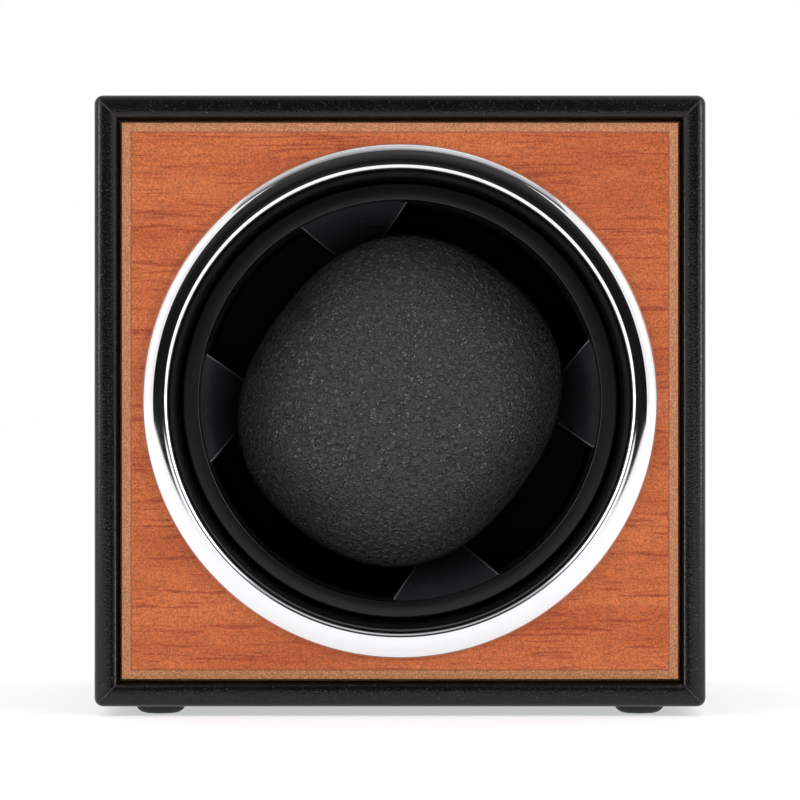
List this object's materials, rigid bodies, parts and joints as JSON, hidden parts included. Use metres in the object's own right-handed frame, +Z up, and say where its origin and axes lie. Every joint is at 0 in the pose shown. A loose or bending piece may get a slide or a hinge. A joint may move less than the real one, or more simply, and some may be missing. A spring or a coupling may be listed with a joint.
{
  "type": "watch winder box",
  "caption": "Square leatherette watch winder with a wood front, a chrome ring, and a motor-driven cup holding a removable pillow.",
  "frame": {"origin": "middle of the box's footprint, on the surface that the feet stand on", "axes": "+Z up, -Y towards the front with the ring and cup, +X to the right seen from the front"},
  "size_m": [0.115, 0.13, 0.1168],
  "materials": {
    "leatherette": "fine pebble grain, satin",
    "fibreboard": "raw board",
    "cherry_panel": "satin cherry veneer with a pale chamfer",
    "ring_chrome": "polished",
    "housing_black": "gloss black",
    "cup_black": "satin black",
    "pillow_cover": "pebbled charcoal leatherette",
    "pillow_foam": "foam",
    "panel_black": "matte black",
    "control_black": "satin black",
    "steel": "plain steel",
    "bronze": "turned",
    "nylon": "natural nylon",
    "circuit": "green board",
    "rubber": "matte",
    "lens": "clear green lens",
    "lead": "insulated lead"
  },
  "bodies": {
    "case": {"leather_wrap": "leatherette", "board_top": "fibreboard", "board_bottom": "fibreboard", "board_left": "fibreboard", "board_right": "fibreboard", "baffle_board": "fibreboard", "corner_block_1": "fibreboard", "corner_block_2": "fibreboard", "corner_block_3": "fibreboard", "corner_block_4": "fibreboard", "wood_panel": "cherry_panel", "chrome_ring": "ring_chrome", "drum_housing": "housing_black", "back_panel": "panel_black", "rotary_switch": "panel_black", "rocker_housing": "panel_black", "dc_jack": "panel_black", "motor_can": "steel", "motor_bracket": "steel", "jack_nut": "steel", "flange_screw_1": "steel", "flange_screw_2": "steel", "flange_screw_3": "steel", "flange_screw_4": "steel", "bracket_screw_1": "steel", "bracket_screw_2": "steel", "back_screw_1": "steel", "back_screw_2": "steel", "back_screw_3": "steel", "back_screw_4": "steel", "bush_front": "bronze", "bush_rear": "bronze", "board_standoff_1": "bronze", "board_standoff_2": "bronze", "thrust_washer": "nylon", "gearbox": "nylon", "circuit_board": "circuit", "foot_1": "rubber", "foot_2": "rubber", "foot_3": "rubber", "foot_4": "rubber", "indicator_led": "lens", "motor_lead": "lead"},
    "cup": {"cup": "cup_black", "cup_hub": "nylon", "main_shaft": "steel", "drive_gear": "nylon", "shaft_clip": "steel", "hub_screw_1": "steel", "hub_screw_2": "steel", "hub_screw_3": "steel"},
    "pillow": {"pillow_core": "pillow_foam", "pillow_front_cover": "pillow_cover", "pillow_back_cover": "pillow_cover"},
    "pinion": {"pinion": "nylon", "output_shaft": "steel"},
    "knob": {"mode_knob": "control_black"},
    "rocker": {"power_rocker": "control_black"}
  },
  "joints": [
    {"name": "cup_spin", "type": "hinge", "parent": "case", "child": "cup", "pos_m": [0, 0, 0.0593], "axis": [0, 1, 0], "continuous": true},
    {"name": "pinion_spin", "type": "hinge", "parent": "case", "child": "pinion", "pos_m": [0, 0.04, 0.0293], "axis": [0, 1, 0], "continuous": true},
    {"name": "pillow_pull", "type": "slide", "parent": "cup", "child": "pillow", "axis": [0, -1, 0], "range_m": [0, 0.06]},
    {"name": "knob_turn", "type": "hinge", "parent": "case", "child": "knob", "pos_m": [-0.021, 0.06, 0.034], "axis": [0, 1, 0], "range_deg": [-60, 60]},
    {"name": "rocker_tip", "type": "hinge", "parent": "case", "child": "rocker", "pos_m": [0.001, 0.058, 0.034], "axis": [1, 0, 0], "range_deg": [0, 14]}
  ],
  "couplings": [
    {"joint": "pinion_spin", "follows": "cup_spin", "ratio": -4}
  ]
}
